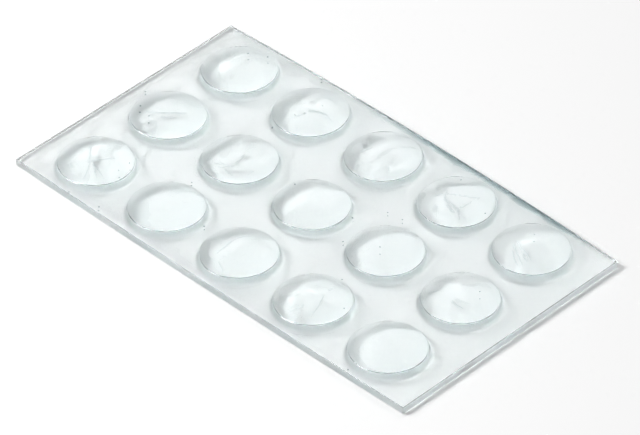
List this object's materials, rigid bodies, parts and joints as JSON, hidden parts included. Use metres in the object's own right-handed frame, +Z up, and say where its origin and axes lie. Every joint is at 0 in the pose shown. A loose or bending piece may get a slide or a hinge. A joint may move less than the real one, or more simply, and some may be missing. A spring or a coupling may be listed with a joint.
{
  "type": "cabinet door bumper sheet",
  "caption": "Sheet of low round clear self-adhesive door bumpers, moulded in one piece with a thin web on a peel-off film.",
  "frame": {"origin": "under the middle of the sheet, on the surface it lies on", "axes": "+X along the long side, +Y towards the long edge with the wider margin, +Z up out of the buttons"},
  "size_m": [0.0842, 0.0484, 0.0035],
  "materials": {
    "clear_moulding": "clear soft polyurethane, glossy, faint green-blue tint",
    "backing_film": "clear polyester film, smooth"
  },
  "bodies": {
    "root": {"bumper_sheet": "clear_moulding", "release_film": "backing_film"}
  },
  "joints": []
}
